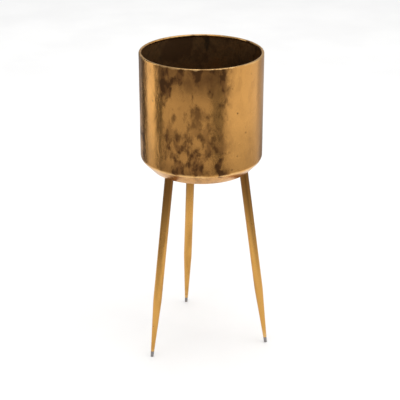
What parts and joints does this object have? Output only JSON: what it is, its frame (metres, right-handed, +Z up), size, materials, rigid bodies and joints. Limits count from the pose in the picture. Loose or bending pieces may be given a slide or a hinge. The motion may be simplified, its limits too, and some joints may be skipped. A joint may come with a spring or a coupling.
{
  "type": "planter pot on legs",
  "caption": "Cylindrical aged brass planter pot with a rolled rim and bevelled base, on slim splayed tapered legs that are bolted on from inside the pot.",
  "frame": {"origin": "on the floor, at the centre of the object's box; the pot's own axis stands 13.2 mm in front of it (towards -Y), because the rear leg reaches further out than the pot", "axes": "+Z up from the feet to the rim, -Y the front, +Y towards the rear leg, +X to the right as seen from the front"},
  "size_m": [0.289, 0.3064, 0.72],
  "materials": {
    "aged_brass": "antique brass with a mottled brown patina, softly polished and clear lacquered",
    "leg_brass": "satin antique brass, lightly aged",
    "zinc_steel": "zinc plated steel",
    "black_rubber": "matt",
    "grey_plastic": "moulded, matt"
  },
  "bodies": {
    "pot": {"pot_body": "aged_brass", "rim_wire": "zinc_steel", "seal_washer_rear": "black_rubber", "taper_washer_rear": "zinc_steel", "seal_washer_left": "black_rubber", "taper_washer_left": "zinc_steel", "seal_washer_right": "black_rubber", "taper_washer_right": "zinc_steel"},
    "leg_rear": {"leg_tube_rear": "leg_brass", "leg_insert_rear": "zinc_steel", "foot_glide_rear": "grey_plastic"},
    "bolt_rear": {"leg_bolt_rear": "zinc_steel"},
    "leg_left": {"leg_tube_left": "leg_brass", "leg_insert_left": "zinc_steel", "foot_glide_left": "grey_plastic"},
    "bolt_left": {"leg_bolt_left": "zinc_steel"},
    "leg_right": {"leg_tube_right": "leg_brass", "leg_insert_right": "zinc_steel", "foot_glide_right": "grey_plastic"},
    "bolt_right": {"leg_bolt_right": "zinc_steel"}
  },
  "joints": [
    {"name": "leg_draw_rear", "type": "slide", "parent": "pot", "child": "leg_rear", "axis": [0, 0.1386, -0.9903], "range_m": [0, 0.0125]},
    {"name": "bolt_turn_rear", "type": "hinge", "parent": "pot", "child": "bolt_rear", "pos_m": [0, 0.08731, 0.446], "axis": [0, -0.1386, 0.9903], "range_deg": [0, 3600]},
    {"name": "leg_draw_left", "type": "slide", "parent": "pot", "child": "leg_left", "axis": [-0.1201, -0.0693, -0.9903], "range_m": [0, 0.0125]},
    {"name": "bolt_turn_left", "type": "hinge", "parent": "pot", "child": "bolt_left", "pos_m": [-0.08704, -0.06344, 0.446], "axis": [0.1201, 0.0693, 0.9903], "range_deg": [0, 3600]},
    {"name": "leg_draw_right", "type": "slide", "parent": "pot", "child": "leg_right", "axis": [0.1201, -0.0693, -0.9903], "range_m": [0, 0.0125]},
    {"name": "bolt_turn_right", "type": "hinge", "parent": "pot", "child": "bolt_right", "pos_m": [0.08704, -0.06344, 0.446], "axis": [-0.1201, 0.0693, 0.9903], "range_deg": [0, 3600]}
  ],
  "couplings": [
    {"joint": "bolt_turn_rear", "follows": "leg_draw_rear", "rad_per_m": 5026.5},
    {"joint": "bolt_turn_left", "follows": "leg_draw_left", "rad_per_m": 5026.5},
    {"joint": "bolt_turn_right", "follows": "leg_draw_right", "rad_per_m": 5026.5}
  ]
}
